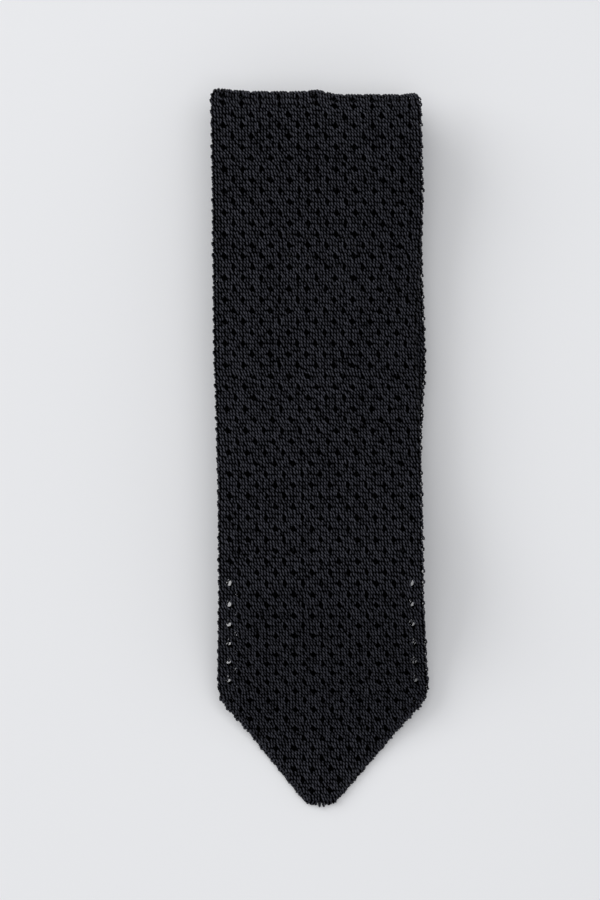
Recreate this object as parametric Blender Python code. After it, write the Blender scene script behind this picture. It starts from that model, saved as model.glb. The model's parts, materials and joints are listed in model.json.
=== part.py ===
"""A black silk knit necktie, folded in a concertina so that only its blade shows.

The tie is one knitted tube pressed flat: a face, and a back whose two halves meet at a centre
seam. Nine lengths lie on each other, joined by eight creases, and the front one runs on past
the stack and drapes down to the table. A knitted ply bends anywhere, so each ply is cut along
the creases, where its lengths turn on one another.

Frame: +X across the tie, +Y along it towards the top crease, +Z up. The origin is on the table,
under the middle of the folded tie. Lengths below are in millimetres.
"""

import math

import bmesh
import bpy

MM = 0.001

# The tie as it lies
FOLDED_LENGTH = 221.0  # from the blade's point to the top crease
STACK_LENGTH = 148.2  # from one end's creases to the other's
TOP_Y = FOLDED_LENGTH / 2
STACK_END_Y = TOP_Y - STACK_LENGTH
POINT_Y = -FOLDED_LENGTH / 2

# The knitted tube
PLY = 0.75  # one thickness of knit
INNER_GAP = 0.75  # between the two plies of the flat tube
LAYER = 2 * PLY + INNER_GAP
CREASE_CUT = 0.3  # between two lengths, where a crease parts them
SEAM_CHANNEL = 1.2  # between the two halves of the back
SEAM_WIDTH = 0.6

# The lengths from the table up, and the creases above each of them
LENGTHS = (
    "tail_end",
    "tail_upper",
    "neck_back",
    "neck_middle",
    "neck_front",
    "blade_taper",
    "blade_third",
    "blade_second",
    "blade_front",
)
LAYER_GAP = 0.5
KEEPER_GAP = 1.4  # under the front length, where the keeper loop lies
CREASE_GAPS = (LAYER_GAP,) * 7 + (KEEPER_GAP,)
CREASE_TUCKS = (0.9, 1.3, 0.5, 1.0, 0.2, 0.8, 0.0, 0.0)  # short of the stack's end
CREASE_HALF_WIDTHS = (27.0, 25.0, 21.0, 19.0, 19.0, 23.5, 28.5, 31.9)
ARC_STEPS = 5

# The blade's point, and the same point scaled down at the tail
BLADE_HALF_WIDTH = 32.5
BLADE_POINT_DEPTH = 34.0
TAIL_HALF_WIDTH = 27.5
TAIL_POINT_DEPTH = 28.8
TAIL_POINT_Y = 96.0
FLANK_ANGLE = math.radians(40)
NOSE_STEPS = 5

# The front length's edges above the point: distance from the point, centre, half width
BLADE_EDGES = (
    (34.0, 0.9, 32.5),
    (63.5, 0.2, 31.2),
    (102.0, -0.1, 31.0),
    (141.0, -1.7, 30.8),
    (187.0, -0.8, 32.1),
    (212.0, -1.5, 31.9),
)
# The length behind it shows past its right edge for a third of the way up
SECOND_EDGES = (
    (STACK_END_Y, -0.2, 30.4),
    (2.0, -0.4, 31.2),
    (28.0, 1.1, 31.1),
    (60.0, 0.0, 31.0),
    (TOP_Y, -1.5, 31.9),
)

# The free end of the blade leaves the stack, and reaches the table short of its point
DRAPE_RUN = 60.0
DRAPE_STEP = 6.0

# Sewn pieces
TAPE_HALF_WIDTH = 13.0
TAPE_THICKNESS = 0.25
TIP_SEAM_INSET = 1.5
TIP_SEAM_WIDTH = 1.5
KEEPER_Y = 80.0
KEEPER_LENGTH = 54.0
KEEPER_WIDTH = 20.0
KEEPER_THICKNESS = 0.6
KEEPER_TACK = 0.7
LABEL_WIDTH = 24.0
LABEL_DROP = 22.0
LABEL_THICKNESS = 0.25
BAR_TACK_Y = POINT_Y + 45.0
BAR_TACK_HALF = 4.0
BAR_TACK_WIDTH = 1.2
BAR_TACK_THICKNESS = 0.5
CLEAR = 0.3

MATERIALS = {
    "black_knit": ((0.010, 0.010, 0.013), 0.62),
    "seam_thread": ((0.014, 0.014, 0.017), 0.45),
    "stay_tape": ((0.030, 0.030, 0.034), 0.70),
    "label_satin": ((0.020, 0.020, 0.024), 0.35),
}


def material(name):
    """The named material, made once."""
    made = bpy.data.materials.get(name)
    if made is None:
        colour, roughness = MATERIALS[name]
        made = bpy.data.materials.new(name)
        made.use_nodes = True
        shader = made.node_tree.nodes["Principled BSDF"]
        shader.inputs["Base Color"].default_value = (*colour, 1.0)
        shader.inputs["Roughness"].default_value = roughness
        shader.inputs["Metallic"].default_value = 0.0
    return made


def crease_end(crease):
    """-1 where the crease is at the stack's lower end in Y, and 1 at its upper end."""
    return -1 if crease % 2 == 0 else 1


def crease_y(crease):
    """The outermost line of a crease."""
    end = crease_end(crease)
    edge = TOP_Y if end > 0 else STACK_END_Y
    return edge - end * CREASE_TUCKS[crease]


def crease_radius(crease):
    """The bend of a length's middle surface, up to the crease's cut."""
    return (LAYER + CREASE_GAPS[crease] - CREASE_CUT) / 2


def level(length):
    """The height of a length's middle surface."""
    return LAYER / 2 + length * LAYER + sum(CREASE_GAPS[:length])


def bend(length, crease):
    """Stations round a crease, from the flat to the cut. A station is y, z and its normal's y, z."""
    end = crease_end(crease)
    radius = crease_radius(crease)
    turn = 1 if crease == length else -1  # up to the next length, or down to the one before
    centre_y = crease_y(crease) - end * (radius + LAYER / 2)
    stations = []
    for step in range(ARC_STEPS + 1):
        angle = math.radians(90) * step / ARC_STEPS
        y = centre_y + end * radius * math.sin(angle)
        z = level(length) + turn * radius * (1 - math.cos(angle))
        stations.append((y, z, -turn * end * math.sin(angle), math.cos(angle)))
    return stations


def flat(length, ys):
    """Stations on the flat of a length."""
    return [(y, level(length), 0.0, 1.0) for y in ys]


def mixed(rows, at):
    """Values read between rows of (position, value, value)."""
    if at <= rows[0][0]:
        return rows[0][1:]
    for low, high in zip(rows, rows[1:]):
        if at <= high[0]:
            share = (at - low[0]) / (high[0] - low[0])
            return tuple(a + share * (b - a) for a, b in zip(low[1:], high[1:]))
    return rows[-1][1:]


def nose_radius(half_width, depth):
    """The round end that a flank at FLANK_ANGLE runs into."""
    flank_at_point = half_width - depth * math.tan(FLANK_ANGLE)
    return flank_at_point / (1 / math.cos(FLANK_ANGLE) - math.tan(FLANK_ANGLE))


def point_half_width(from_point, half_width, depth):
    """Half the width of a pointed end, from its round nose along its straight flank."""
    radius = nose_radius(half_width, depth)
    if from_point < radius * (1 - math.sin(FLANK_ANGLE)):
        return math.sqrt(max(0.0, 2 * radius * from_point - from_point**2))
    return half_width - (depth - from_point) * math.tan(FLANK_ANGLE)


def nose_steps(half_width, depth):
    """Distances from the point that follow the nose's arc."""
    radius = nose_radius(half_width, depth)
    last = math.radians(90) - FLANK_ANGLE
    angles = [last * (step + 1) / NOSE_STEPS for step in range(NOSE_STEPS)]
    return [0.15] + [radius * (1 - math.cos(angle)) for angle in angles]


def blade_sides(y):
    """The front length's two edges."""
    from_point = y - POINT_Y
    if from_point < BLADE_POINT_DEPTH:
        half = point_half_width(from_point, BLADE_HALF_WIDTH, BLADE_POINT_DEPTH)
        centre = BLADE_EDGES[0][1] * from_point / BLADE_POINT_DEPTH
    else:
        centre, half = mixed(BLADE_EDGES, from_point)
    return centre - half, centre + half


def tail_sides(y):
    """The tail end's two edges."""
    from_point = TAIL_POINT_Y - y
    if from_point < TAIL_POINT_DEPTH:
        half = point_half_width(from_point, TAIL_HALF_WIDTH, TAIL_POINT_DEPTH)
    else:
        half = TAIL_HALF_WIDTH
    return -half, half


def second_sides(y):
    """The edges of the length behind the front one."""
    centre, half = mixed(SECOND_EDGES, y)
    return centre - half, centre + half


def tapered_sides(length):
    """The straight edges of a length between its two creases."""
    rows = sorted(
        (crease_y(crease), CREASE_HALF_WIDTHS[crease]) for crease in (length - 1, length)
    )

    def sides(y):
        (half,) = mixed(rows, y)
        return -half, half

    return sides


def drape(y):
    """The free end's station at y: an even curve from the stack down to the table."""
    run = min(1.0, (STACK_END_Y - y) / DRAPE_RUN)
    drop = level(len(LENGTHS) - 1) - LAYER / 2
    z = LAYER / 2 + drop * (1 - run * run * (3 - 2 * run))
    slope = drop * 6 * run * (1 - run) / DRAPE_RUN
    size = math.hypot(1.0, slope)
    return y, z, -slope / size, 1.0 / size


def strip(name, stations, sides, low, high, look):
    """A closed strip: a rectangle at every station, from low to high along its normal."""
    mesh = bpy.data.meshes.new(name)
    made = bpy.data.objects.new(name, mesh)
    bpy.context.scene.collection.objects.link(made)
    work = bmesh.new()
    rings = []
    for y, z, normal_y, normal_z in stations:
        left, right = sides(y)
        ring = []
        for x, off in ((left, low), (right, low), (right, high), (left, high)):
            corner = (x * MM, (y + off * normal_y) * MM, (z + off * normal_z) * MM)
            ring.append(work.verts.new(corner))
        rings.append(ring)
    for near, far in zip(rings, rings[1:]):
        for corner in range(4):
            after = (corner + 1) % 4
            work.faces.new((near[corner], near[after], far[after], far[corner]))
    work.faces.new(rings[0])
    work.faces.new(rings[-1])
    bmesh.ops.recalc_face_normals(work, faces=work.faces)
    if work.calc_volume(signed=True) < 0:
        bmesh.ops.reverse_faces(work, faces=work.faces)
    work.to_mesh(mesh)
    work.free()
    mesh.shade_smooth()
    mesh.set_sharp_from_angle(angle=math.radians(30))
    mesh.materials.append(material(look))
    return made


def knit(name, stations, sides, face_up, back_from=0):
    """The four pieces of one length of tube: its face, the halves of its back, and their seam.

    back_from leaves stations out of the back at a point, where it is too narrow for a seam.
    """
    inner = INNER_GAP / 2
    outer = inner + PLY
    side = 1 if face_up else -1
    face = sorted((side * inner, side * outer))
    back = sorted((-side * inner, -side * outer))
    back_stations = stations[back_from:]
    strip(f"{name}_face", stations, sides, *face, "black_knit")

    def left_half(y):
        return sides(y)[0], -SEAM_CHANNEL / 2

    def right_half(y):
        return SEAM_CHANNEL / 2, sides(y)[1]

    def seam(y):
        return -SEAM_WIDTH / 2, SEAM_WIDTH / 2

    strip(f"{name}_back_left", back_stations, left_half, *back, "black_knit")
    strip(f"{name}_back_right", back_stations, right_half, *back, "black_knit")
    strip(f"{name}_back_seam", back_stations, seam, *back, "seam_thread")


def tip_seams(name, stations, sides):
    """The two legs of the seam inside a pointed end, along its flanks."""
    half = TAPE_THICKNESS / 2

    def left_leg(y):
        edge = sides(y)[0] + TIP_SEAM_INSET
        return edge, edge + TIP_SEAM_WIDTH

    def right_leg(y):
        edge = sides(y)[1] - TIP_SEAM_INSET
        return edge - TIP_SEAM_WIDTH, edge

    strip(f"{name}_tip_seam_left", stations, left_leg, -half, half, "seam_thread")
    strip(f"{name}_tip_seam_right", stations, right_leg, -half, half, "seam_thread")


def middle_lengths():
    """The lengths between two creases, from the tail's upper part to the blade's second."""
    for length in range(1, len(LENGTHS) - 1):
        low, high = sorted((length - 1, length), key=crease_end)
        at_low = bend(length, low)
        at_high = bend(length, high)
        between = []
        sides = tapered_sides(length)
        if LENGTHS[length] == "blade_second":
            sides = second_sides
            inside = (at_low[0][0], at_high[0][0])
            between = [row[0] for row in SECOND_EDGES if inside[0] < row[0] < inside[1]]
        stations = at_low[::-1] + flat(length, between) + at_high
        knit(LENGTHS[length], stations, sides, face_up=length % 2 == 0)
        if LENGTHS[length].startswith("neck"):
            half = TAPE_THICKNESS / 2

            def tape(y):
                return -TAPE_HALF_WIDTH, TAPE_HALF_WIDTH

            strip(f"{LENGTHS[length]}_stay_tape", stations, tape, -half, half, "stay_tape")


def tail_end():
    """The bottom length, which ends in the tail's point."""
    nose = nose_steps(TAIL_HALF_WIDTH, TAIL_POINT_DEPTH)
    from_point = nose + [TAIL_POINT_DEPTH, TAIL_POINT_DEPTH + 0.5]
    stations = flat(0, [TAIL_POINT_Y - at for at in from_point]) + bend(0, 0)
    knit("tail_end", stations, tail_sides, face_up=True, back_from=3)
    flank = flat(0, [TAIL_POINT_Y - at for at in (nose[-1], TAIL_POINT_DEPTH - 0.5)])
    tip_seams("tail_end", flank, tail_sides)


def blade_front():
    """The front length on the stack, and the free end that hangs from its edge."""
    top = len(LENGTHS) - 1
    start = STACK_END_Y + CREASE_CUT / 2
    edges = [POINT_Y + row[0] for row in BLADE_EDGES]
    ys = [start] + [y for y in edges if start < y < bend(top, top - 1)[0][0]]
    stations = flat(top, ys) + bend(top, top - 1)
    knit("blade_front", stations, blade_sides, face_up=True)

    nose = nose_steps(BLADE_HALF_WIDTH, BLADE_POINT_DEPTH)
    steps = int((STACK_END_Y - POINT_Y - BLADE_POINT_DEPTH) / DRAPE_STEP)
    flank_steps = [nose[-1] + (BLADE_POINT_DEPTH - nose[-1]) * n / 5 for n in range(1, 6)]
    free = STACK_END_Y - CREASE_CUT / 2 - POINT_Y
    rise = [BLADE_POINT_DEPTH + (free - BLADE_POINT_DEPTH) * n / steps for n in range(1, steps + 1)]
    stations = [drape(POINT_Y + at) for at in nose + flank_steps + rise]
    knit("blade_end", stations, blade_sides, face_up=True, back_from=3)
    flank = [drape(POINT_Y + at) for at in nose[-1:] + flank_steps]
    tip_seams("blade_end", flank, blade_sides)


def keeper_and_label():
    """The keeper loop across the front length's back, its two tacks, and the blank label."""
    top = len(LENGTHS) - 1
    high = -(LAYER / 2 + CLEAR)
    low = high - KEEPER_THICKNESS
    half = KEEPER_LENGTH / 2
    across = flat(top, (KEEPER_Y - KEEPER_WIDTH / 2, KEEPER_Y + KEEPER_WIDTH / 2))
    strip("keeper_loop", across, lambda y: (-half, half), low, high, "black_knit")
    near = half + CLEAR
    far = near + KEEPER_TACK
    strip("keeper_tack_left", across, lambda y: (-far, -near), low, high, "seam_thread")
    strip("keeper_tack_right", across, lambda y: (near, far), low, high, "seam_thread")
    label_top = KEEPER_Y - KEEPER_WIDTH / 2 - CLEAR
    down = flat(top, (label_top - LABEL_DROP, label_top))
    sides = (-LABEL_WIDTH / 2, LABEL_WIDTH / 2)
    strip("care_label", down, lambda y: sides, high - LABEL_THICKNESS, high, "label_satin")


def bar_tack():
    """The bar tack that locks the back seam's end above the blade's point."""
    across = [drape(BAR_TACK_Y), drape(BAR_TACK_Y + BAR_TACK_WIDTH)]
    high = -(LAYER / 2 + CLEAR)
    low = high - BAR_TACK_THICKNESS
    sides = (-BAR_TACK_HALF, BAR_TACK_HALF)
    strip("blade_bar_tack", across, lambda y: sides, low, high, "seam_thread")


def main():
    for old in list(bpy.data.objects):
        bpy.data.objects.remove(old)
    tail_end()
    middle_lengths()
    blade_front()
    keeper_and_label()
    bar_tack()


main()
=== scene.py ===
"""The black knitted necktie's looks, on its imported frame.

The front length, its draped end and the outer ply of every crease are knitted loop by loop from
tubes of yarn. Every other ply is an open sheet of the same stitch in relief, with loops along its
edges. Lengths are in millimetres until the last step, when a mesh is made.
"""

import json
import math

import bpy
import numpy as np
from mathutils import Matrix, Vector


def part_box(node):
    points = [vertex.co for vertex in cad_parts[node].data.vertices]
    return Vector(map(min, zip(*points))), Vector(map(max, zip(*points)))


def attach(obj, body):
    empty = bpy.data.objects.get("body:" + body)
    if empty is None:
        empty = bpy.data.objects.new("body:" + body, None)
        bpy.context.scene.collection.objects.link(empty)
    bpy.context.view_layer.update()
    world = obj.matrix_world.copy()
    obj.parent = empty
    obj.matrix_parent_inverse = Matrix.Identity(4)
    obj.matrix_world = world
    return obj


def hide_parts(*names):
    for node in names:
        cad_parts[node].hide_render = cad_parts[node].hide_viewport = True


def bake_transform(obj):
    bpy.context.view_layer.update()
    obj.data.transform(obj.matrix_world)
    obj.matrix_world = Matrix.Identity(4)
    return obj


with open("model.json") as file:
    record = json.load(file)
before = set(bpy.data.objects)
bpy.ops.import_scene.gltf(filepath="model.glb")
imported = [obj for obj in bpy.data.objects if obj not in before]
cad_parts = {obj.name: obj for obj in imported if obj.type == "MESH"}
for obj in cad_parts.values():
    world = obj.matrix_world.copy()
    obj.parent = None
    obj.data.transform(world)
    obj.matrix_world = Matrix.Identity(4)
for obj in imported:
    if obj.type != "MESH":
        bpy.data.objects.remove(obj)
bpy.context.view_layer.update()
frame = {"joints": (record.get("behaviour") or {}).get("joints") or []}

MM = 0.001
rng = np.random.default_rng(11)

# The folded tube, as the frame has it
LENGTHS = (
    "tail_end", "tail_upper", "neck_back", "neck_middle", "neck_front",
    "blade_taper", "blade_third", "blade_second", "blade_front",
)
TOP = len(LENGTHS) - 1
JOINTS = {joint["name"]: joint for joint in frame["joints"]}
CREASES = (
    "tail_crease", "tail_top_crease", "neck_low_crease", "neck_top_crease",
    "taper_low_crease", "taper_top_crease", "second_low_crease", "front_top_crease",
)
LAYER = 2.25  # a length's thickness, both plies together
CREASE_GAP = (0.5,) * 7 + (1.4,)  # between the two lengths that a crease joins
PLY_OFFSET = 0.75  # from a length's middle surface to the middle of a ply
EDGE_TURN = 2.4  # how far a ply can go round its length's edge, in radians
CREASE_Y = [JOINTS[name]["pos_m"][1] / MM for name in CREASES]
CREASE_Z = [JOINTS[name]["pos_m"][2] / MM for name in CREASES]
TOP_Y = CREASE_Y[TOP - 1]
EDGE_Y = JOINTS["blade_lift"]["pos_m"][1] / MM  # where the blade's end leaves the stack
TOP_LEVEL = JOINTS["blade_lift"]["pos_m"][2] / MM - LAYER / 2
POINT_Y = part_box("blade_end_face")[0][1] / MM

# The stitch: a wale is its width and a course its height, and an eyelet opens every CELL_WALES by
# CELL_COURSES, with the next row of eyelets half a cell to the side
WALE = 0.93
COURSE = 1.11
CELL_WALES = 6
CELL_COURSES = 3
EYELET_COURSE = 0.45  # the middle of the yarn's eyelets, in courses from the row's first course
EYELET_FACE = 0.5  # the same for the faces left out of a relief sheet
EYELET_LEAD = 0.05  # from one to the other
LOOP_LEAN = -0.12  # below zero, a loop's legs slant; above it, its head bulges; in wales
LOOP_REACH = 0.52  # from a course's middle to its loops' heads, in courses
LOOP_DEPTH = 0.30  # how far a loop stands out of its ply and sinks into it
LOOP_UNEVEN = (0.08, 0.06, 0.05)  # how much single loops vary across, along and out of the ply
LOOP_PROUD = 0.5 * math.pi  # the part of a loop that stands proud: its falling leg
LOOP_CREST = 1.8  # above one, only the leg's middle stands proud
LOOP_SHINE = 5.5  # the same for the painted highlight: only the leg's middle is painted bright
YARN_RADIUS = 0.25
YARN_SIDES = 5
STEPS = 8  # points along the yarn in one stitch
EYELET_PUSH = (0.52, 0.76)  # how far an eyelet parts the yarn, across and along
EYELET_REACH = 1.0  # how far from an eyelet the yarn still gives way
SCALLOP = 0.24  # how far the courses between two eyelets stand out at an edge
EYELET_MARGIN = 3.1  # no eyelet is nearer than this to an edge, in wales
ALIGNED_WALES = 6.5  # nearer than this to an edge, the blade end's eyelets go through both plies
EDGE_LOOPS = 3  # how many loops stand along the edges of the plies in relief
EDGE_LAP = 0.7  # how far a relief sheet's edge laps the ply it is joined to
BLADE_WALES = 68
COURSES_PER_PIECE = 34  # how many courses of the front make one piece
BACK_SHADE = 0.4  # painted shade: the front's back ply's painted light is scaled by this, so that its eyelets look dark

# The blade's outline, as the frame has it
POINT_HALF_WIDTH = 32.5
POINT_DEPTH = 35.0
FLANK = math.radians(39.5)
SHOULDER = 3.2  # how softly the flanks meet the sides
BLADE_EDGES = (  # y from the point, the middle's x, half the width
    (34.0, 0.9, 32.5), (63.5, 0.2, 31.2), (102.0, -0.1, 31.0),
    (141.0, -1.7, 30.8), (187.0, -0.8, 32.1), (221.0, -1.5, 31.9),
)
SECOND_EDGES = (  # the same for the length under it, from the stack's edge
    (0.0, -0.2, 30.4), (39.7, -0.4, 31.2), (65.7, 1.1, 31.1),
    (97.7, 0.0, 31.0), (148.2, -1.5, 31.9),
)
CREASE_HALF_WIDTHS = (27.0, 25.0, 21.0, 19.0, 19.0, 23.5, 28.5, 31.9)
TAIL_HALF_WIDTH = 27.5
TAIL_DEPTH = 28.8
TAIL_POINT_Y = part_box("tail_end_face")[1][1] / MM
DRAPE_RUN = 60.0  # how far past the stack the drape comes to the table
BEND_BEFORE = 8.0  # the bend over the stack's edge starts so far before it
BEND_AFTER = 12.0  # and ends so far after it
TURN_POINTS = 25
FLAT_POINTS = 120


def smooth(share):
    """A share from 0 to 1, eased at both ends."""
    share = np.clip(share, 0.0, 1.0)
    return share * share * (3 - 2 * share)


# ---------------------------------------------------------------- how the stack settles


def droop(x, y):
    """How far the top lengths sink: along the right side, at both edges and over the top crease.

    The creases stay nearly level, so that they bend cleanly."""
    side = 0.42 * np.maximum(0.0, x - 12.0 + 3.0 * np.exp(-np.abs(x - 12.0) / 4.0))
    side = np.where(x > 4.0, side * smooth((x - 4.0) / 10.0), 0.0)
    below_crease = 0.06 + 0.94 * smooth((TOP_Y - 2.0 - y) / 55.0)
    above_point = 0.55 + 0.45 * smooth((y + 75.0) / 40.0)
    beside_edge = 0.12 + 0.88 * smooth(np.abs(y - EDGE_Y) / 38.0)
    side = side * below_crease * above_point
    side = side * beside_edge
    left = 1.1 * smooth((-x - 24.0) / 9.0) ** 2 * (0.3 + 0.7 * smooth((TOP_Y - y) / 30.0))
    over = 3.2 * smooth((y - (TOP_Y - 15.0)) / 17.0) ** 2
    swell = 0.35 * np.sin(y / 17.0 + 0.6) * smooth((-x + 30.0) / 20.0)
    swell = swell + 0.25 * np.sin(y / 9.0 + x / 21.0)
    return side + left + over + swell * 0.6


FOLD_WAVE = (  # how far the folds at the top stand out in y, at each x
    (-32.5, 0.8), (-28.0, 0.4), (-21.0, -0.1), (-6.0, -0.1),
    (-1.0, 0.4), (5.0, -1.0), (25.0, -1.0), (29.5, -0.6),
)


def settle(points):
    """Where the points of the flat stack come to lie: lengths high in it take the whole droop, and
    the bottom ones none. The folds at the top are a little crooked, and their corners rounded."""
    x, y, z = points[..., 0], points[..., 1], points[..., 2]
    share = smooth((z - 4.0) / 13.0)
    out = points.copy()
    wave = np.interp(x, *zip(*FOLD_WAVE))
    corner = smooth((y - (TOP_Y - 2.6)) / 2.6)
    out[..., 0] = x - np.sign(x) * 1.1 * corner * smooth((np.abs(x) - 26.0) / 5.0)
    out[..., 1] = y + wave * smooth((y - (TOP_Y - 14.0)) / 14.0)
    out[..., 2] = z - droop(x, y) * share
    return out


# ---------------------------------------------------------------- the middle surfaces


def nose_radius(half, depth):
    """The radius of the round nose between the flanks of a point this wide and deep."""
    return (half - depth * math.tan(FLANK)) / (1 / math.cos(FLANK) - math.tan(FLANK))


def pointed(from_point, half, depth):
    """Half the width of a pointed end at these distances from its point."""
    radius = nose_radius(half, depth)
    nose = np.sqrt(np.maximum(0.0, 2 * radius * from_point - from_point**2))
    flank = half - (depth - from_point) * math.tan(FLANK)
    corner = np.maximum(1 - np.abs(flank - half) / SHOULDER, 0.0) ** 2 * SHOULDER / 4
    nose_end = radius * (1 - math.sin(FLANK))
    return np.where(from_point < nose_end, nose, np.minimum(flank, half) - corner)


def blade_outline(y):
    """The centre and half width of the blade at y."""
    at = y - POINT_Y
    rows = np.array(BLADE_EDGES)
    centre = np.interp(at, rows[:, 0], rows[:, 1]) * np.minimum(1.0, at / POINT_DEPTH)
    half = np.interp(at, rows[:, 0], rows[:, 2])
    return centre, pointed(at, POINT_HALF_WIDTH, POINT_DEPTH) + half - POINT_HALF_WIDTH


def second_outline(y):
    """The centre and half width of the length under the blade."""
    rows = np.array(SECOND_EDGES)
    at = y - EDGE_Y
    return np.interp(at, rows[:, 0], rows[:, 1]), np.interp(at, rows[:, 0], rows[:, 2])


def tail_outline(y):
    """The centre and half width of the tail's end."""
    at = TAIL_POINT_Y - y
    return np.zeros_like(y), pointed(at, TAIL_HALF_WIDTH, TAIL_DEPTH)


def level(length):
    """The height of a length's middle surface."""
    if length == TOP:
        return TOP_LEVEL
    return CREASE_Z[length] - (CREASE_GAP[length] + LAYER) / 2


def outline_of(length):
    """The outline function of a length."""
    if length == TOP:
        return blade_outline
    if length == TOP - 1:
        return second_outline
    if length == 0:
        return tail_outline
    low, high = sorted((length - 1, length), key=lambda crease: CREASE_Y[crease])
    ys = (CREASE_Y[low], CREASE_Y[high])
    halves = (CREASE_HALF_WIDTHS[low], CREASE_HALF_WIDTHS[high])
    return lambda y: (np.zeros_like(y), np.interp(y, ys, halves))


class Run:
    """A middle surface's line: points (y, z) with upward normals, read by distance along it."""

    def __init__(self, points, outline):
        self.points = np.array(points, float)
        steps = np.hypot(*np.diff(self.points, axis=0).T)
        self.at = np.concatenate([[0.0], np.cumsum(steps)])
        self.length = self.at[-1]
        tangent = np.gradient(self.points, self.at, axis=0)
        tangent /= np.linalg.norm(tangent, axis=1)[:, None]
        self.normals = np.stack([tangent[:, 1], -tangent[:, 0]], axis=1)
        self.outline = outline

    def read(self, s):
        """At s: y and z, the normal's y and z, and the outline's centre and half width."""
        y = np.interp(s, self.at, self.points[:, 0])
        z = np.interp(s, self.at, self.points[:, 1])
        ny = np.interp(s, self.at, self.normals[:, 0])
        nz = np.interp(s, self.at, self.normals[:, 1])
        centre, half = self.outline(y)
        return y, z, ny, nz, centre, half

    def place(self, u, s, side, lift):
        """Points of a ply: u across from the centre, s along, lifted out from the ply's middle."""
        y, z, ny, nz, centre, half = self.read(s)
        flat = np.maximum(half - PLY_OFFSET, 0.05)
        turn = np.clip((np.abs(u) - flat) / PLY_OFFSET, 0.0, EDGE_TURN)
        out = PLY_OFFSET + lift
        x = centre + np.sign(u) * (np.minimum(np.abs(u), flat) + out * np.sin(turn))
        height = side * out * np.cos(turn)
        return settle(np.stack([x, y + height * ny, z + height * nz], axis=-1))

    def reach(self, s):
        """The largest u at s: halfway round the tube's edge."""
        half = self.read(s)[5]
        return np.maximum(half - PLY_OFFSET, 0.05) + PLY_OFFSET * math.pi / 2


def half_turn(crease):
    """Points round a crease, from the lower length's flat to the upper's."""
    end = 1 if crease % 2 else -1
    radius = (level(crease + 1) - level(crease)) / 2
    middle = level(crease) + radius
    centre_y = CREASE_Y[crease] - end * (radius + LAYER / 2)
    angles = np.radians(np.linspace(-90, 90, TURN_POINTS))
    return [(centre_y + end * radius * math.cos(a), middle + radius * math.sin(a)) for a in angles]


def drape_points():
    """The blade's end, from the stack's edge to the point."""
    drop = TOP_LEVEL - LAYER / 2
    ys = np.linspace(EDGE_Y, POINT_Y + 0.2, 90)[1:]
    run = np.clip((EDGE_Y - ys) / DRAPE_RUN, 0, 1)
    return list(zip(ys, LAYER / 2 + drop * (1 - run * run * (3 - 2 * run))))


def flat_ends(length):
    """A length's two flat ends in y, from its lower crease to its upper one."""
    ends = []
    for crease in (length - 1, length):
        if 0 <= crease < TOP:
            turn = half_turn(crease)
            ends.append(turn[-1][0] if crease == length - 1 else turn[0][0])
    if length == 0:
        ends.insert(0, TAIL_POINT_Y - 0.4)
    if length == TOP:
        ends.append(EDGE_Y)
    return ends


# The run of the front: over the top crease, along the stack, and down the drape. It goes towards
# -Y, so that its normals point up.
front_points = half_turn(TOP - 1)
flat_ys = np.linspace(front_points[-1][0] - 1.0, EDGE_Y, FLAT_POINTS)
front_points += [(y, TOP_LEVEL) for y in flat_ys]
FRONT = Run(front_points + drape_points(), blade_outline)
CREASE_ARC = float(FRONT.at[TURN_POINTS - 1])
EDGE_S = float(FRONT.at[TURN_POINTS - 1 + FLAT_POINTS])


def flat_run(length):
    """A length's flat as a run towards -Y, so that its normals point up."""
    high, low = sorted(flat_ends(length), reverse=True)
    return Run([(y, level(length)) for y in np.linspace(high, low, 100)], outline_of(length))


# ---------------------------------------------------------------- meshes


def make_mesh(name, points, faces, look, uv=None, tone_and_painted_light=None):
    """An object from points in millimetres and rows of four corners."""
    mesh = bpy.data.meshes.new(name)
    points = np.asarray(points, np.float32).reshape(-1, 3) * MM
    faces = np.asarray(faces, np.int32)
    mesh.vertices.add(len(points))
    mesh.vertices.foreach_set("co", points.ravel())
    mesh.loops.add(faces.size)
    mesh.loops.foreach_set("vertex_index", faces.ravel())
    mesh.polygons.add(len(faces))
    mesh.polygons.foreach_set("loop_start", np.arange(0, faces.size, 4, dtype=np.int32))
    mesh.update(calc_edges=True)
    if uv is not None:
        for layer, values in uv.items():
            data = mesh.uv_layers.new(name=layer)
            data.data.foreach_set("uv", np.asarray(values, np.float32)[faces.ravel()].ravel())
    if tone_and_painted_light is not None:
        # Painted light and shade per point, or a flat tone, which the knit materials turn into base
        # colour.
        shade = mesh.attributes.new("ToneAndPaintedLight", "FLOAT", "POINT")
        shade.data.foreach_set("value", np.asarray(tone_and_painted_light, np.float32).ravel())
    mesh.shade_smooth()
    mesh.validate()
    made = bpy.data.objects.new(name, mesh)
    bpy.context.scene.collection.objects.link(made)
    mesh.materials.append(look)
    return made


def bake_uv(points):
    """A flat unwrapping from above."""
    flat = np.asarray(points).reshape(-1, 3)[:, :2]
    low, high = flat.min(axis=0), flat.max(axis=0)
    return (flat - low) / (high - low).max()


def nearest_eyelet(wale, course, row, middle):
    """The wale and course of the nearest eyelet in the even rows (row 0) or the odd ones (1)."""
    m = 2 * np.round((course - middle - CELL_COURSES * row) / (2 * CELL_COURSES)) + row
    offset = CELL_WALES / 2 * row
    hole_wale = CELL_WALES * np.round((wale - offset) / CELL_WALES) + offset
    return hole_wale, CELL_COURSES * m + middle


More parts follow.
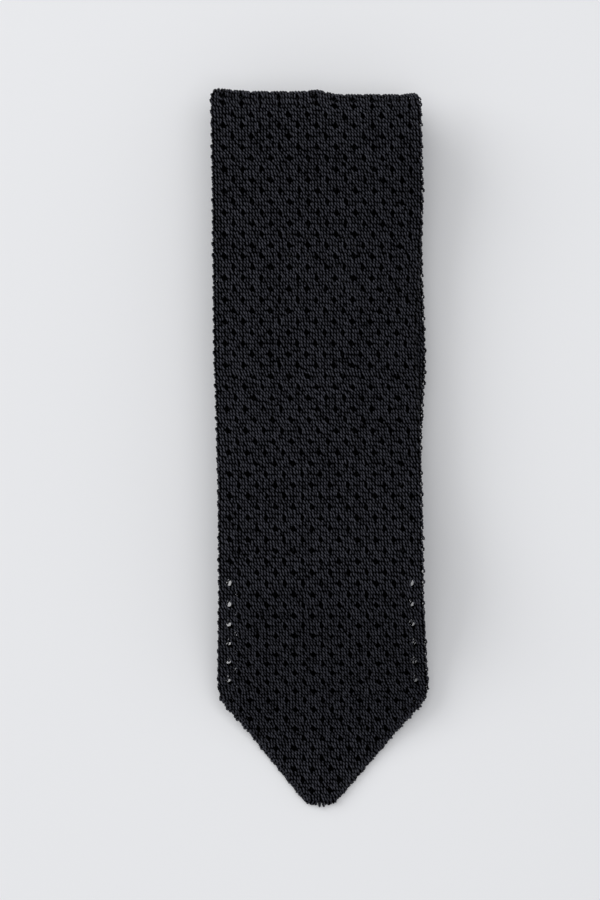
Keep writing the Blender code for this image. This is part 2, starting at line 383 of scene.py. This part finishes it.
def part_eyelets(wale, course, wales):
    """Moves the yarn at (wale, course) away from the nearest eyelet, in stitch units."""
    best = None
    far = 9.0  # where an eyelet would be too near the edge, there is none to move from
    for row in (0, 1):
        hole_wale, hole_course = nearest_eyelet(wale, course, row, EYELET_COURSE)
        dx = (wale - hole_wale) * WALE
        dy = (course - hole_course) * COURSE
        closed = np.abs(hole_wale) > wales / 2 - EYELET_MARGIN
        distance = np.hypot(dx, dy) + np.where(closed, far, 0.0)
        if best is None:
            best = [dx, dy, distance]
        else:
            closer = distance < best[2]
            best = [np.where(closer, new, old) for new, old in zip((dx, dy, distance), best)]
    dx, dy, distance = best
    push = np.exp(-((distance / EYELET_REACH) ** 2)) / np.maximum(distance, 0.12)
    return wale + EYELET_PUSH[0] * dx * push / WALE, course + EYELET_PUSH[1] * dy * push / COURSE


def tube(line, ups, radius, sides=6, blunt=False):
    """A tube along a line: its points, faces, UVs, and how far each of its sides faces up. Its ends
    taper, unless it is blunt."""
    line, ups = np.asarray(line, float), np.asarray(ups, float)
    tangent = np.gradient(line, axis=0)
    tangent /= np.maximum(np.linalg.norm(tangent, axis=1), 1e-6)[:, None]
    up = ups - (ups * tangent).sum(axis=1)[:, None] * tangent
    up /= np.maximum(np.linalg.norm(up, axis=1), 1e-6)[:, None]
    across = np.cross(tangent, up)
    turn = np.arange(sides) * 2 * math.pi / sides
    taper = 1.0
    if not blunt:
        count = np.arange(len(line))
        taper = np.minimum(1.0, 0.25 + np.minimum(count, count[::-1]) * 0.4)[:, None, None]
    ring = (
        line[:, None, :]
        + radius * taper * np.cos(turn)[None, :, None] * up[:, None, :]
        + radius * taper * np.sin(turn)[None, :, None] * across[:, None, :]
    )
    index = np.arange(len(line) * sides).reshape(len(line), sides)
    after = np.roll(index, -1, axis=1)
    faces = np.stack([index[:-1], index[1:], after[1:], after[:-1]], axis=-1).reshape(-1, 4)
    at = np.concatenate([[0.0], np.cumsum(np.linalg.norm(np.diff(line, axis=0), axis=1))])
    uv = np.broadcast_arrays(at[:, None], (turn / (2 * math.pi))[None, :])
    uv = np.stack(uv, axis=-1).reshape(-1, 2)
    return ring.reshape(-1, 3), faces, uv, 0.5 + 0.5 * np.cos(turn)


def loops(run, course, span, pitch, wales, side, course_length):
    """One course's yarn from one wale to another: its points, which way is up, and their painted
    highlight, strongest on the middle of each proud leg.
    """
    first, last = span
    t = first + np.arange(int(round((last - first) * STEPS)) + 1) / STEPS
    angle = (t - 0.5) * 2 * math.pi
    stitch = np.floor(t - first).astype(int)
    jitter = rng.normal(0, 1.0, (3, last - first + 2)) * np.array(LOOP_UNEVEN)[:, None]
    wale = t - 0.25 + LOOP_LEAN * np.sin(2 * angle) + jitter[0][stitch] + rng.normal(0, 0.10)
    along = course - LOOP_REACH * np.cos(angle) + jitter[1][stitch]
    along = along + 0.10 * np.sin(0.9 * wale + 2.1 * course)
    wale, along = part_eyelets(wale, along, wales)
    crest = (1 + np.cos(angle - LOOP_PROUD)) / 2
    lift = LOOP_DEPTH * (2 * crest**LOOP_CREST - 1) + 0.6 * jitter[2][stitch]
    s = np.clip(along * course_length, 0.02, run.length - 0.3)
    limit = run.reach(s)
    u = np.clip(wale * pitch, -limit, limit)
    line = run.place(u, s, side, lift)
    near_edge = smooth((np.abs(u) - limit + 1.4) / 1.4)
    bump = SCALLOP * math.cos(2 * math.pi * course / CELL_COURSES)
    line[:, 0] += np.sign(u) * near_edge * (bump + jitter[0][stitch])
    out = run.place(u, s, side, lift + 0.2) - line
    # Painted highlight on each leg's crest, brighter where a loop stands further out.
    return line, out, crest**LOOP_SHINE * (1.0 + 4.0 * jitter[2][stitch])


def yarn(name, run, courses, wales, side, look, course_length=COURSE, edge=None):
    """Courses of knitted loops, each a tube of yarn across the ply and round its edges.

    With edge, only that many loops at both ends of every course."""
    all_points, all_faces, all_uv, all_painted_light = [], [], [], []
    base = 0
    for course in courses:
        middle_s = course * course_length
        if middle_s > run.length - 0.3:
            continue
        pitch = wales_pitch(run, middle_s, wales)
        half = min(wales // 2, int(float(run.reach(np.array([middle_s]))[0]) / pitch + 0.35))
        spans = [(-half, half)]
        if edge is not None and half > edge:
            spans = [(-half, edge - half), (half - edge, half)]
        for span in spans:
            line, out, shine = loops(run, course, span, pitch, wales, side, course_length)
            ring, faces, uv, over = tube(line, out, YARN_RADIUS, YARN_SIDES, blunt=True)
            # Painted light: the highlight is painted at full strength on the tube's upward sides
            # and weaker on its undersides.
            lit = np.clip(shine, 0, 1.3)[:, None] * (0.35 + 0.65 * over[None, :])
            all_painted_light.append(lit.ravel())
            all_points.append(ring)
            all_faces.append(faces + base)
            all_uv.append(uv)
            base += len(ring)
    points = np.concatenate(all_points)
    uv = {"Yarn": np.concatenate(all_uv), "OFBake": bake_uv(points)}
    return make_mesh(name, points, np.concatenate(all_faces), look, uv, np.concatenate(all_painted_light))


def wales_pitch(run, s, wales):
    """The width of a stitch at s: the wales share the ply, and keep their pitch at a point."""
    reach = float(run.reach(np.array([s]))[0])
    y = float(run.read(np.array([s]))[0][0])
    if run.outline is blade_outline and y < POINT_Y + POINT_DEPTH:
        reach = float(run.reach(np.array([run.length - POINT_DEPTH - 1.0]))[0])
    if run.outline is tail_outline and y > TAIL_POINT_Y - TAIL_DEPTH:
        reach = TAIL_HALF_WIDTH - PLY_OFFSET + PLY_OFFSET * math.pi / 2
    return 2 * reach / wales


def relief(name, run, start, stop, wales, side, look, shift=0.0, holes="all", shade=1.0):
    """An open sheet of the same stitch: its loops in relief, and an eyelet wherever four faces go.

    holes is all, edges (only beside the sides of the blade's end, above its point, where the
    eyelets go through both plies) or none."""
    columns = 2 * wales + 1
    rows = max(3, int(round((stop - start) / COURSE * 2)) + 1)
    wale = np.linspace(-wales / 2, wales / 2, columns)[None, :].repeat(rows, axis=0)
    course = np.linspace(start / COURSE, stop / COURSE, rows)[:, None].repeat(columns, axis=1)
    near_course = np.round(course * 2) / 2
    moved_wale, moved_course = part_eyelets(wale + shift, near_course - EYELET_LEAD, wales)
    fixed = np.abs(wale) > wales / 2 - 1.2
    fixed[[0, -1]] = True
    if holes == "edges":
        fixed |= np.abs(wale) < wales / 2 - ALIGNED_WALES - 1.0
    elif holes == "none":
        fixed[:] = True
    moved_wale = np.where(fixed, wale, moved_wale - shift)
    moved_course = np.where(fixed, course, moved_course + EYELET_LEAD + course - near_course)
    s = np.clip(moved_course * COURSE, start, stop)
    limit = run.reach(s)
    pitch = np.array([wales_pitch(run, at, wales) for at in s[:, 0]])[:, None]
    u = np.clip(moved_wale * pitch, -limit, limit)
    u = u + np.sign(u) * EDGE_LAP * (np.abs(u) >= limit - 0.01)
    checks = np.arange(rows)[:, None] // 2 % 2 + np.arange(columns)[None, :]
    lift = np.where(checks % 2 == 0, 0.14, -0.14) + rng.normal(0, 0.03, course.shape)
    lift = np.where(np.abs(wale) > wales / 2 - EDGE_LOOPS, lift - 0.2, lift)
    points = run.place(u, s, side, lift)
    index = np.arange(rows * columns).reshape(rows, columns)
    corners = np.stack([index[:-1, :-1], index[:-1, 1:], index[1:, 1:], index[1:, :-1]], axis=-1)
    inside = np.abs(wale * pitch) <= limit + 0.4 * WALE
    keep = inside[:-1, :-1] | inside[:-1, 1:]
    hole = eyelet_faces(wale + shift, near_course, wales)
    if holes == "edges":
        hole &= np.abs(wale[:-1, :-1] + wale[1:, 1:]) / 2 > wales / 2 - ALIGNED_WALES
        hole &= course[:-1, :-1] * COURSE < run.length - POINT_DEPTH - 1.0
    elif holes == "none":
        hole[:] = False
    faces = corners[keep & ~hole]
    if side < 0:
        faces = faces[:, ::-1]
    used = np.unique(faces)
    renumber = np.zeros(rows * columns, int)
    renumber[used] = np.arange(len(used))
    flat_points = points.reshape(-1, 3)[used]
    stitch_uv = np.stack([wale, course], axis=-1).reshape(-1, 2)[used]
    # Painted light and shade: raised checks are painted lighter, and sunk checks and the strip
    # under the edge loops painted darker. All of it is scaled by shade, which paints shade on the
    # front's back ply.
    tone_and_painted_light = shade * np.clip(0.5 + lift / 0.3, 0.0, 1.0).reshape(-1)[used]
    uv = {"Stitch": stitch_uv, "OFBake": bake_uv(flat_points)}
    return make_mesh(name, flat_points, renumber[faces], look, uv, tone_and_painted_light)


def eyelet_faces(wale, course, wales):
    """Which faces of a half-stitch grid touch an eyelet's middle."""
    w = (wale[:-1, :-1] + wale[1:, 1:]) / 2
    c = (course[:-1, :-1] + course[1:, 1:]) / 2
    hole = np.zeros(w.shape, bool)
    reach = 0.42  # in stitches: it takes in the four faces round the middle
    for row in (0, 1):
        hole_wale, hole_course = nearest_eyelet(w, c, row, EYELET_FACE)
        near = (np.abs(w - hole_wale) < reach) & (np.abs(c - hole_course) < reach)
        hole |= near & (np.abs(hole_wale) < wales / 2 - EYELET_MARGIN)
    return hole


# ---------------------------------------------------------------- materials


def principled(name, colour, roughness):
    """A new material, its node tree and its shader."""
    look = bpy.data.materials.new(name)
    look.use_nodes = True
    shader = look.node_tree.nodes["Principled BSDF"]
    shader.inputs["Base Color"].default_value = (*colour, 1.0)
    shader.inputs["Roughness"].default_value = roughness
    return look, look.node_tree, shader


def noise_on_object(tree, scale, detail):
    """A noise that stays on the piece as it moves."""
    place = tree.nodes.new("ShaderNodeTexCoord")
    noise = tree.nodes.new("ShaderNodeTexNoise")
    noise.inputs["Scale"].default_value = scale
    noise.inputs["Detail"].default_value = detail
    tree.links.new(place.outputs["Object"], noise.inputs["Vector"])
    return noise.outputs["Fac"]


def colour_ramp(tree, shader, value, positions, colours):
    """The base colour, from the first colour to the second as the value rises."""
    ramp = tree.nodes.new("ShaderNodeValToRGB")
    for element, position in zip(ramp.color_ramp.elements, positions):
        element.position = position
    for element, colour in zip(ramp.color_ramp.elements, colours):
        element.color = (*colour, 1)
    tree.links.new(value, ramp.inputs["Fac"])
    tree.links.new(ramp.outputs["Color"], shader.inputs["Base Color"])


def painted_light_by_depth(tree, shader, deep, high, curve, shine):
    """Painted light and shade in the base colour: a high value gives the lit colour, and a low one
    gives the painted shade, nearly black, of yarn under its neighbours. Random noise varies the
    tone, and the specular level follows the same value.
    """
    tone_and_painted_light = tree.nodes.new("ShaderNodeAttribute")
    tone_and_painted_light.attribute_name = "ToneAndPaintedLight"
    uneven = tree.nodes.new("ShaderNodeMath")
    uneven.operation = "MULTIPLY_ADD"
    uneven.inputs[1].default_value = 0.5
    uneven.inputs[2].default_value = -0.25
    total = tree.nodes.new("ShaderNodeMath")
    tree.links.new(noise_on_object(tree, 420.0, 3.0), uneven.inputs[0])
    tree.links.new(uneven.outputs["Value"], total.inputs[0])
    tree.links.new(tone_and_painted_light.outputs["Fac"], total.inputs[1])
    colour_ramp(tree, shader, total.outputs["Value"], curve, (deep, high))
    gloss = tree.nodes.new("ShaderNodeMath")
    gloss.operation = "MULTIPLY"
    gloss.use_clamp = True
    gloss.inputs[1].default_value = shine
    tree.links.new(total.outputs["Value"], gloss.inputs[0])
    tree.links.new(gloss.outputs["Value"], shader.inputs["Specular IOR Level"])


def mottled(tree, shader, colour, spread, scale):
    """The base colour, a little lighter and darker from place to place."""
    colours = [[c * (1 + change) for c in colour] for change in (-spread, spread)]
    colour_ramp(tree, shader, noise_on_object(tree, scale, 4.0), (0.3, 0.7), colours)


def bump_from_waves(tree, shader, layer, scale, turn, strength, distance):
    """Fine ridges across a UV layer, such as a yarn's twist."""
    uv = tree.nodes.new("ShaderNodeUVMap")
    uv.uv_map = layer
    aim = tree.nodes.new("ShaderNodeMapping")
    aim.inputs["Rotation"].default_value = (0, 0, turn)
    aim.inputs["Scale"].default_value = scale
    wave = tree.nodes.new("ShaderNodeTexWave")
    wave.inputs["Scale"].default_value = 1.0
    wave.inputs["Distortion"].default_value = 1.2
    bump = tree.nodes.new("ShaderNodeBump")
    bump.inputs["Strength"].default_value = strength
    bump.inputs["Distance"].default_value = distance
    tree.links.new(uv.outputs["UV"], aim.inputs["Vector"])
    tree.links.new(aim.outputs["Vector"], wave.inputs["Vector"])
    tree.links.new(wave.outputs["Fac"], bump.inputs["Height"])
    tree.links.new(bump.outputs["Normal"], shader.inputs["Normal"])


# Painted light and shade: the first colour is painted shade, and the lit colours are painted light
# on proud yarn.
YARN_PAINTED_SHADE = (0.0002, 0.0002, 0.0003)
YARN_PAINTED_LIT = (0.039, 0.0405, 0.053)
RELIEF_PAINTED_LIT = (0.028, 0.029, 0.036)
THREAD_BLACK = (0.011, 0.011, 0.014)
TAPE_BLACK = (0.022, 0.022, 0.025)
SATIN_BLACK = (0.016, 0.016, 0.019)

silk, tree, shader = principled("silk_yarn", YARN_PAINTED_LIT, 0.42)
painted_light_by_depth(tree, shader, YARN_PAINTED_SHADE, YARN_PAINTED_LIT, (0.18, 1.0), 0.22)
bump_from_waves(tree, shader, "Yarn", (0.9, 1.0, 1.0), math.radians(35), 0.6, 0.00006)

knit, tree, shader = principled("silk_knit", YARN_PAINTED_LIT, 0.5)
painted_light_by_depth(tree, shader, YARN_PAINTED_SHADE, RELIEF_PAINTED_LIT, (0.25, 1.0), 0.12)
bump_from_waves(tree, shader, "Stitch", (0.5, 0.32, 1.0), math.radians(25), 0.9, 0.0002)

thread, tree, shader = principled("seam_silk", THREAD_BLACK, 0.38)
mottled(tree, shader, THREAD_BLACK, 0.2, 1200.0)
bump_from_waves(tree, shader, "Yarn", (2.2, 1.0, 1.0), math.radians(40), 0.5, 0.00003)

tape_weave, tree, shader = principled("cotton_tape", TAPE_BLACK, 0.75)
mottled(tree, shader, TAPE_BLACK, 0.2, 500.0)
bump_from_waves(tree, shader, "Stitch", (0.9, 0.9, 1.0), math.radians(45), 0.5, 0.0001)

satin, tree, shader = principled("label_satin_weave", SATIN_BLACK, 0.33)
shader.inputs["Anisotropic"].default_value = 0.4
mottled(tree, shader, SATIN_BLACK, 0.15, 300.0)
bump_from_waves(tree, shader, "Stitch", (1.6, 0.1, 1.0), 0.0, 0.4, 0.00004)

# ---------------------------------------------------------------- the tube's lengths


def wales_of(length):
    """An even number of wales that fills a length's ply."""
    outline = outline_of(length)
    ys = np.array(sorted(flat_ends(length)))
    half = float(np.max(outline(np.linspace(ys[0], ys[1], 9))[1]))
    return int(round((half + 0.4) / WALE)) * 2


def finish_piece(nodes):
    """Hides the CAD nodes that a piece stands for."""
    if nodes:
        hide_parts(*nodes)


def build_lengths(crease_pieces):
    """Every length below the front, each of its plies a sheet. The crease pieces it is given are
    not used."""
    for length, name in enumerate(LENGTHS[:-1]):
        run = flat_run(length)
        wales = BLADE_WALES if length == TOP - 1 else wales_of(length)
        upper, lower = ("face", "back") if length % 2 == 0 else ("back", "face")
        for side, ply in ((1, upper), (-1, lower)):
            shift = 0.0 if side > 0 else CELL_WALES / 2
            piece = relief(f"{name}_{ply}_knit", run, 0.0, run.length, wales, side, knit, shift)
            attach(piece, name)
            finish_piece([f"{name}_face"] if ply == "face" else back_nodes(name))
            courses = range(1, int(run.length / COURSE))
            edges = yarn(f"{name}_{ply}_edges", run, courses, wales, side, silk, edge=EDGE_LOOPS)
            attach(edges, name)
            finish_piece([])
            flat_size(run)
            cut_area(run)


def back_nodes(name):
    """The two halves of a length's back."""
    return [f"{name}_back_left", f"{name}_back_right"]


def flat_size(run):
    """A ply's width at its widest and its length, in metres."""
    reach = float(np.max(run.reach(np.linspace(0, run.length, 60))))
    return (2 * reach * MM, run.length * MM)


def cut_area(run, start=0.0, stop=None):
    """A ply's flat area in square metres."""
    stop = run.length if stop is None else stop
    at = np.linspace(start, stop, 200)
    return float(np.mean(2 * run.reach(at)) * (stop - start) * MM * MM)


def across_crease(piece, crease):
    """Bakes into its mesh the place of a piece at a crease, between the two lengths it joins."""
    inset = 1.0
    y = half_turn(crease)[0][0]
    ends = [[0.0, y, level(crease) + inset], [0.0, y, level(crease + 1) - inset]]
    ends = settle(np.array(ends)) * MM
    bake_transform(piece)


def build_creases():
    """The creases' pieces, as a list for each crease."""
    made = []
    for crease in range(TOP):
        run = Run(half_turn(crease), outline_of(crease))
        wales = BLADE_WALES if crease >= TOP - 2 else wales_of(crease)
        outer_side = 1 if crease % 2 else -1
        name = CREASES[crease]
        inner = relief(
            f"{name}_inner", run, 0.0, run.length, wales, -outer_side, knit, holes="none"
        )
        seam = back_seam(f"{name}_seam", run, 0.0, run.length, -1)
        pieces = [inner, seam]
        if crease < TOP - 1:
            rounds = int(run.length / COURSE * 1.5) + 1
            step = run.length / rounds
            courses = range(rounds + 1)
            pieces.append(yarn(f"{name}_loops", run, courses, wales, outer_side, silk, step))
        for piece in pieces:
            across_crease(piece, crease)
            finish_piece([])
        made.append(pieces)
    return made


def across_edge(piece):
    """Bakes into its mesh the place of a piece over the stack's edge, between the front length and
    the draped end.
    """
    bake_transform(piece)


def front_parts():
    """The front's three parts: a name, and where along FRONT it starts and stops."""
    return (
        ("blade_front", CREASE_ARC, EDGE_S - BEND_BEFORE),
        ("blade_bend", EDGE_S - BEND_BEFORE, EDGE_S + BEND_AFTER),
        ("blade_end", EDGE_S + BEND_AFTER, FRONT.length),
    )


def ride_part(piece, name):
    """The bend crosses the joint at the stack's edge, and the other two parts are bodies."""
    if name == "blade_bend":
        across_edge(piece)
    else:
        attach(piece, name)


def front_loops():
    """The front's face: its pieces in order, and the number of the one over the stack's edge."""
    last = int(FRONT.length / COURSE)
    edge_course = int(EDGE_S / COURSE)
    bend_start, bend_end = edge_course - 6, edge_course + 9
    crease_end = int(CREASE_ARC / COURSE) + 1
    bounds = [0, crease_end]
    while bounds[-1] + COURSES_PER_PIECE < bend_start:
        bounds.append(bounds[-1] + COURSES_PER_PIECE)
    bounds += [bend_start, bend_end]
    while bounds[-1] + COURSES_PER_PIECE < last:
        bounds.append(bounds[-1] + COURSES_PER_PIECE)
    bounds.append(last)
    pieces = []
    for number, (low, high) in enumerate(zip(bounds, bounds[1:])):
        courses, step = range(low, high), COURSE
        if number == 0:  # the loops crowd round the crease
            courses = range(int(crease_end * 1.4))
            step = crease_end * COURSE / len(courses)
        piece = yarn(f"front_loops_{number}", FRONT, courses, BLADE_WALES, 1, silk, step)
        if number == 0:
            across_crease(piece, TOP - 1)
        elif low == bend_start:
            across_edge(piece)
        else:
            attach(piece, "blade_front" if high <= edge_course else "blade_end")
        pieces.append(piece)
    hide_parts("blade_front_face")
    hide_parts("blade_end_face")
    return pieces, bounds.index(bend_start)


def build_front():
    """The front's face, loop by loop, and its back in relief."""
    pieces, bend = front_loops()
    for name, start, stop in front_parts():
        if name == "blade_end":
            stop -= 0.8
        shift, holes = (CELL_WALES / 2, "all") if name == "blade_front" else (0.35, "edges")
        piece = relief(
            f"{name}_back_knit", FRONT, start, stop, BLADE_WALES, -1, knit, shift, holes, BACK_SHADE
        )
        courses = range(int(start / COURSE) + 1, int(stop / COURSE) + 1)
        edges = yarn(f"{name}_back_edges", FRONT, courses, BLADE_WALES, -1, silk, edge=EDGE_LOOPS)
        for made in (piece, edges):
            ride_part(made, name)
        finish_piece([] if name == "blade_bend" else back_nodes(name))
        finish_piece([])
        reach = float(np.max(FRONT.reach(np.linspace(start, stop, 60))))
        cut_area(FRONT, start, stop)


# ---------------------------------------------------------------- seams, tapes, keeper and label


def threads(name, lines, radius, look):
    """Several threads, each a line with its upward directions, as one object."""
    points, faces, uvs, base = [], [], [], 0
    for line, ups in lines:
        ring, quads, uv, _ = tube(line, ups, radius)
        points.append(ring)
        faces.append(quads + base)
        uvs.append(uv)
        base += len(ring)
    points = np.concatenate(points)
    uv = {"Yarn": np.concatenate(uvs), "OFBake": bake_uv(points)}
    # A flat tone with a random spread, with no painted light.
    tone_and_painted_light = np.full(len(points), 0.62) + rng.normal(0, 0.15, len(points))
    return make_mesh(name, points, np.concatenate(faces), look, uv, tone_and_painted_light)


SEAM_PITCH = 1.6
SEAM_SWING = 0.42
SEAM_ENDS = 12.0  # the seam stops so far from either point
THREAD_RADIUS = 0.13


def zigzag(run, start, stop, u_at, side, lift):
    """A seam's thread: it crosses from edge to edge of the seam as it goes."""
    s = np.arange(start, stop, SEAM_PITCH / 8)
    phase = s / SEAM_PITCH * 2 * math.pi
    u = u_at(s) + SEAM_SWING * np.sin(phase)
    high = lift + 0.10 * np.cos(2 * phase)
    line = run.place(u, s, side, high)
    ups = run.place(u, s, side, high + 0.2) - line
    return line, ups


def back_seam(name, run, start, stop, side):
    """The two threads that close the back along its centre."""
    lines = [
        zigzag(run, start, stop, lambda s, o=offset: np.full_like(s, o), side, 0.22)
        for offset in (-0.35, 0.35)
    ]
    return threads(name, lines, THREAD_RADIUS, thread)


def build_seams():
    """The back seam of every length."""
    for length, name in enumerate(LENGTHS[:-1]):
        run = flat_run(length)
        side = -1 if length % 2 == 0 else 1
        start = SEAM_ENDS if length == 0 else 0.0
        piece = back_seam(f"{name}_seam_thread", run, start, run.length, side)
        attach(piece, name)
        finish_piece([f"{name}_back_seam"])
    for name, start, stop in front_parts():
        if name == "blade_end":
            stop -= SEAM_ENDS
        piece = back_seam(f"{name}_seam_thread", FRONT, start, stop, -1)
        ride_part(piece, name)
        finish_piece([] if name == "blade_bend" else [f"{name}_back_seam"])


def build_tip_seams():
    """The two seams inside either point, a little in from its flanks."""
    for name, run, start, stop in (
        ("blade_end", FRONT, FRONT.length - POINT_DEPTH, FRONT.length - 3.5),
        ("tail_end", flat_run(0), 3.5, TAIL_DEPTH),
    ):
        for hand, sign in (("left", -1), ("right", 1)):
            line, ups = zigzag(
                run, start, stop, lambda s: sign * (run.read(s)[5] - 2.6), 1, -PLY_OFFSET
            )
            piece = threads(f"{name}_point_seam_{hand}", [(line, ups)], THREAD_RADIUS, thread)
            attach(piece, name)
            finish_piece([f"{name}_tip_seam_{hand}"])


def slab(name, low, high, look, step=1.0, crown=0.0):
    """A thin closed piece of cloth with soft edges, from its lowest to its highest corner."""
    (x0, y0, z0), (x1, y1, z1) = low, high
    columns = max(4, int((x1 - x0) / step)) + 1
    rows = max(4, int((y1 - y0) / step)) + 1
    x, y = np.meshgrid(np.linspace(x0, x1, columns), np.linspace(y0, y1, rows))
    near = np.minimum(np.minimum(x - x0, x1 - x), np.minimum(y - y0, y1 - y))
    half = (z1 - z0) / 2 * (0.35 + 0.65 * smooth(near / (1.2 * step)))
    ripple = crown * np.sin(x / 2.3) * np.sin(y / 3.1)
    middle = (z0 + z1) / 2 + ripple
    top = settle(np.stack([x, y, middle + half], axis=-1)).reshape(-1, 3)
    bottom = settle(np.stack([x, y, middle - half], axis=-1)).reshape(-1, 3)
    index = np.arange(rows * columns).reshape(rows, columns)
    up = np.stack([index[:-1, :-1], index[:-1, 1:], index[1:, 1:], index[1:, :-1]], axis=-1)
    up = up.reshape(-1, 4)
    down = up[:, ::-1] + rows * columns
    rim = np.concatenate([index[0, :], index[1:, -1], index[-1, -2::-1], index[-2:0:-1, 0]])
    after = np.roll(rim, -1)
    sides = np.stack([rim + rows * columns, after + rows * columns, after, rim], axis=-1)
    points = np.concatenate([top, bottom])
    faces = np.concatenate([up, down, sides])
    stitch = points[:, :2] / 0.5
    uv = {"Stitch": stitch, "Yarn": stitch, "OFBake": bake_uv(points)}
    return make_mesh(name, points, faces, look, uv, np.full(len(points), 0.6))


def cad_slab(name, node, body, look, step=1.0, crown=0.0):
    """A cloth piece in a CAD node's box."""
    low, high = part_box(node)
    piece = slab(name, [c / MM for c in low], [c / MM for c in high], look, step, crown)
    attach(piece, body)
    finish_piece([node])
    return piece


def wraps(name, node, body, turns, along_y):
    """A tack: turns of thread laid side by side over a CAD node's box."""
    low, high = [np.array(corner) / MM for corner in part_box(node)]
    lines = []
    share = np.linspace(0, 1, 9)
    for turn in range(turns):
        at = (turn + 0.5) / turns
        bow = 0.18 * np.sin(share * math.pi)
        if along_y:
            x = np.full_like(share, low[0] + at * (high[0] - low[0]))
            y = low[1] + share * (high[1] - low[1])
        else:
            x = low[0] + share * (high[0] - low[0])
            y = np.full_like(share, low[1] + at * (high[1] - low[1]))
        z = (low[2] + high[2]) / 2 - bow
        line = settle(np.stack([x, y, z], axis=-1))
        lines.append((line, np.tile([0.0, 0.0, 1.0], (len(line), 1))))
    piece = threads(name, lines, THREAD_RADIUS, thread)
    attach(piece, body)
    finish_piece([node])
    return piece


WHIP_PITCH = 1.25
WHIP_RADIUS = 0.27
FLANK_BUMP = 4.4  # from one bump of the point's flank to the next


def whipped_edge():
    """Stitches that wrap the point's edge, from the left shoulder round the nose to the right."""
    radius = nose_radius(POINT_HALF_WIDTH, POINT_DEPTH)
    nose_end = radius * (1 - math.sin(FLANK))
    angles = np.linspace(0, math.pi / 2 - FLANK, 12)
    nose, flank = radius * (1 - np.cos(angles)), np.linspace(nose_end, POINT_DEPTH, 40)
    depth = np.concatenate([nose, flank[1:]])
    half = pointed(depth, POINT_HALF_WIDTH, POINT_DEPTH)
    outline = np.concatenate([np.stack([-half, depth], 1)[::-1], np.stack([half, depth], 1)[1:]])
    steps = np.concatenate([[0.0], np.cumsum(np.hypot(*np.diff(outline, axis=0).T))])
    lines = []
    share = np.linspace(-1.0, 1.0, 15)
    for at in np.arange(0.4, steps[-1] - 0.4, WHIP_PITCH):
        at += rng.normal(0, 0.08)
        before, here, after = (
            np.array([np.interp(at + step, steps, outline[:, k]) for k in (0, 1)])
            for step in (-0.5, 0.0, 0.5)
        )
        across, down = here
        ahead = (after - before) / np.hypot(*(after - before))
        outward = np.array([ahead[1], -ahead[0]])
        bulge = 0.12 + 0.30 * math.cos(2 * math.pi * at / FLANK_BUMP) + rng.normal(0, 0.06)
        turn = share * math.pi * 0.62
        inward = (1 - np.cos(turn)) * 1.15 - bulge
        slant = 0.32 * share
        x = across - outward[0] * inward + ahead[0] * slant
        from_point = np.maximum(down - outward[1] * inward + ahead[1] * slant, -0.5)
        s = FRONT.length - from_point
        y, z, ny, nz, centre, _ = FRONT.read(np.minimum(s, FRONT.length))
        y = y - np.maximum(0.0, s - FRONT.length)
        height = np.maximum(1.02 * np.sin(turn), 0.25 - z)
        line = settle(np.stack([centre + x, y + height * ny, z + height * nz], axis=-1))
        ups = [outward[0] * np.cos(turn), outward[1] * -np.cos(turn), np.sin(turn)]
        lines.append((line, np.stack(ups, axis=-1)))
    piece = threads("blade_point_whipping", lines, WHIP_RADIUS, silk)
    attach(piece, "blade_end")
    finish_piece([])


def build_small_pieces():
    """The keeper, its tacks, the label, the bar tack and the stay tapes."""
    body = "blade_front"
    keeper = cad_slab("keeper_loop_knit", "keeper_loop", body, knit, 0.7, 0.06)
    label = cad_slab("care_label_satin", "care_label", body, satin, 0.8, 0.05)
    tacks = [
        wraps(f"{node}_thread", node, body, 3, True)
        for node in ("keeper_tack_left", "keeper_tack_right")
    ]
    wraps("blade_bar_tack_thread", "blade_bar_tack", "blade_end", 5, False)
    for length in (2, 3, 4):
        node = f"{LENGTHS[length]}_stay_tape"
        low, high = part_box(node)
        flat = sorted(flat_ends(length))
        z = level(length)
        half = 0.13  # half a tape's thickness
        corners = ((low[0] / MM, flat[0], z - half), (high[0] / MM, flat[1], z + half))
        tape = slab(f"{node}_woven", *corners, tape_weave, 1.3, 0.04)
        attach(tape, LENGTHS[length])
        finish_piece([node])


build_lengths(build_creases())
build_front()
build_seams()
build_tip_seams()
whipped_edge()
build_small_pieces()

# ---------------------------------------------------------------- stage, camera and light


def build_stage():
    """A plain pale floor, just under the tie."""
    size, z = 3.0, -0.0003
    corners = [(-size, -size, z), (size, -size, z), (size, size, z), (-size, size, z)]
    mesh = bpy.data.meshes.new("floor")
    mesh.from_pydata(corners, [], [(0, 1, 2, 3)])
    floor = bpy.data.objects.new("floor", mesh)
    bpy.context.scene.collection.objects.link(floor)
    look, _, shader = principled("floor_paper", (0.825, 0.832, 0.85), 0.9)
    shader.inputs["Specular IOR Level"].default_value = 0.1
    mesh.materials.append(look)


def area_light(name, place, size, power):
    """A square light that looks at the tie."""
    data = bpy.data.lights.new(name, "AREA")
    data.size = size
    data.energy = power
    lamp = bpy.data.objects.new(name, data)
    bpy.context.scene.collection.objects.link(lamp)
    lamp.location = place
    lamp.rotation_euler = (-Vector(place)).to_track_quat("-Z", "Y").to_euler()


def build_light():
    world = bpy.data.worlds.new("studio")
    world.use_nodes = True
    background = world.node_tree.nodes["Background"]
    background.inputs["Color"].default_value = (0.98, 0.985, 1.0, 1)
    background.inputs["Strength"].default_value = 0.40
    bpy.context.scene.world = world
    area_light("key", (-1.8, 1.0, 1.7), 2.0, 29.0)
    area_light("fill", (0.2, 0.3, 3.0), 2.4, 38.0)


def build_camera():
    """Straight down, with the tie as large in the frame as in the photograph."""
    data = bpy.data.cameras.new("camera")
    camera = bpy.data.objects.new("camera", data)
    bpy.context.scene.collection.objects.link(camera)
    distance = 1.4
    field_height = 0.2799
    data.lens = data.sensor_width * distance / field_height
    camera.location = (-0.0063, 0.0003, distance)
    data.clip_start, data.clip_end = 0.05, 10.0
    bpy.context.scene.camera = camera


build_stage()
build_light()
build_camera()
bpy.context.scene.view_settings.view_transform = "Standard"
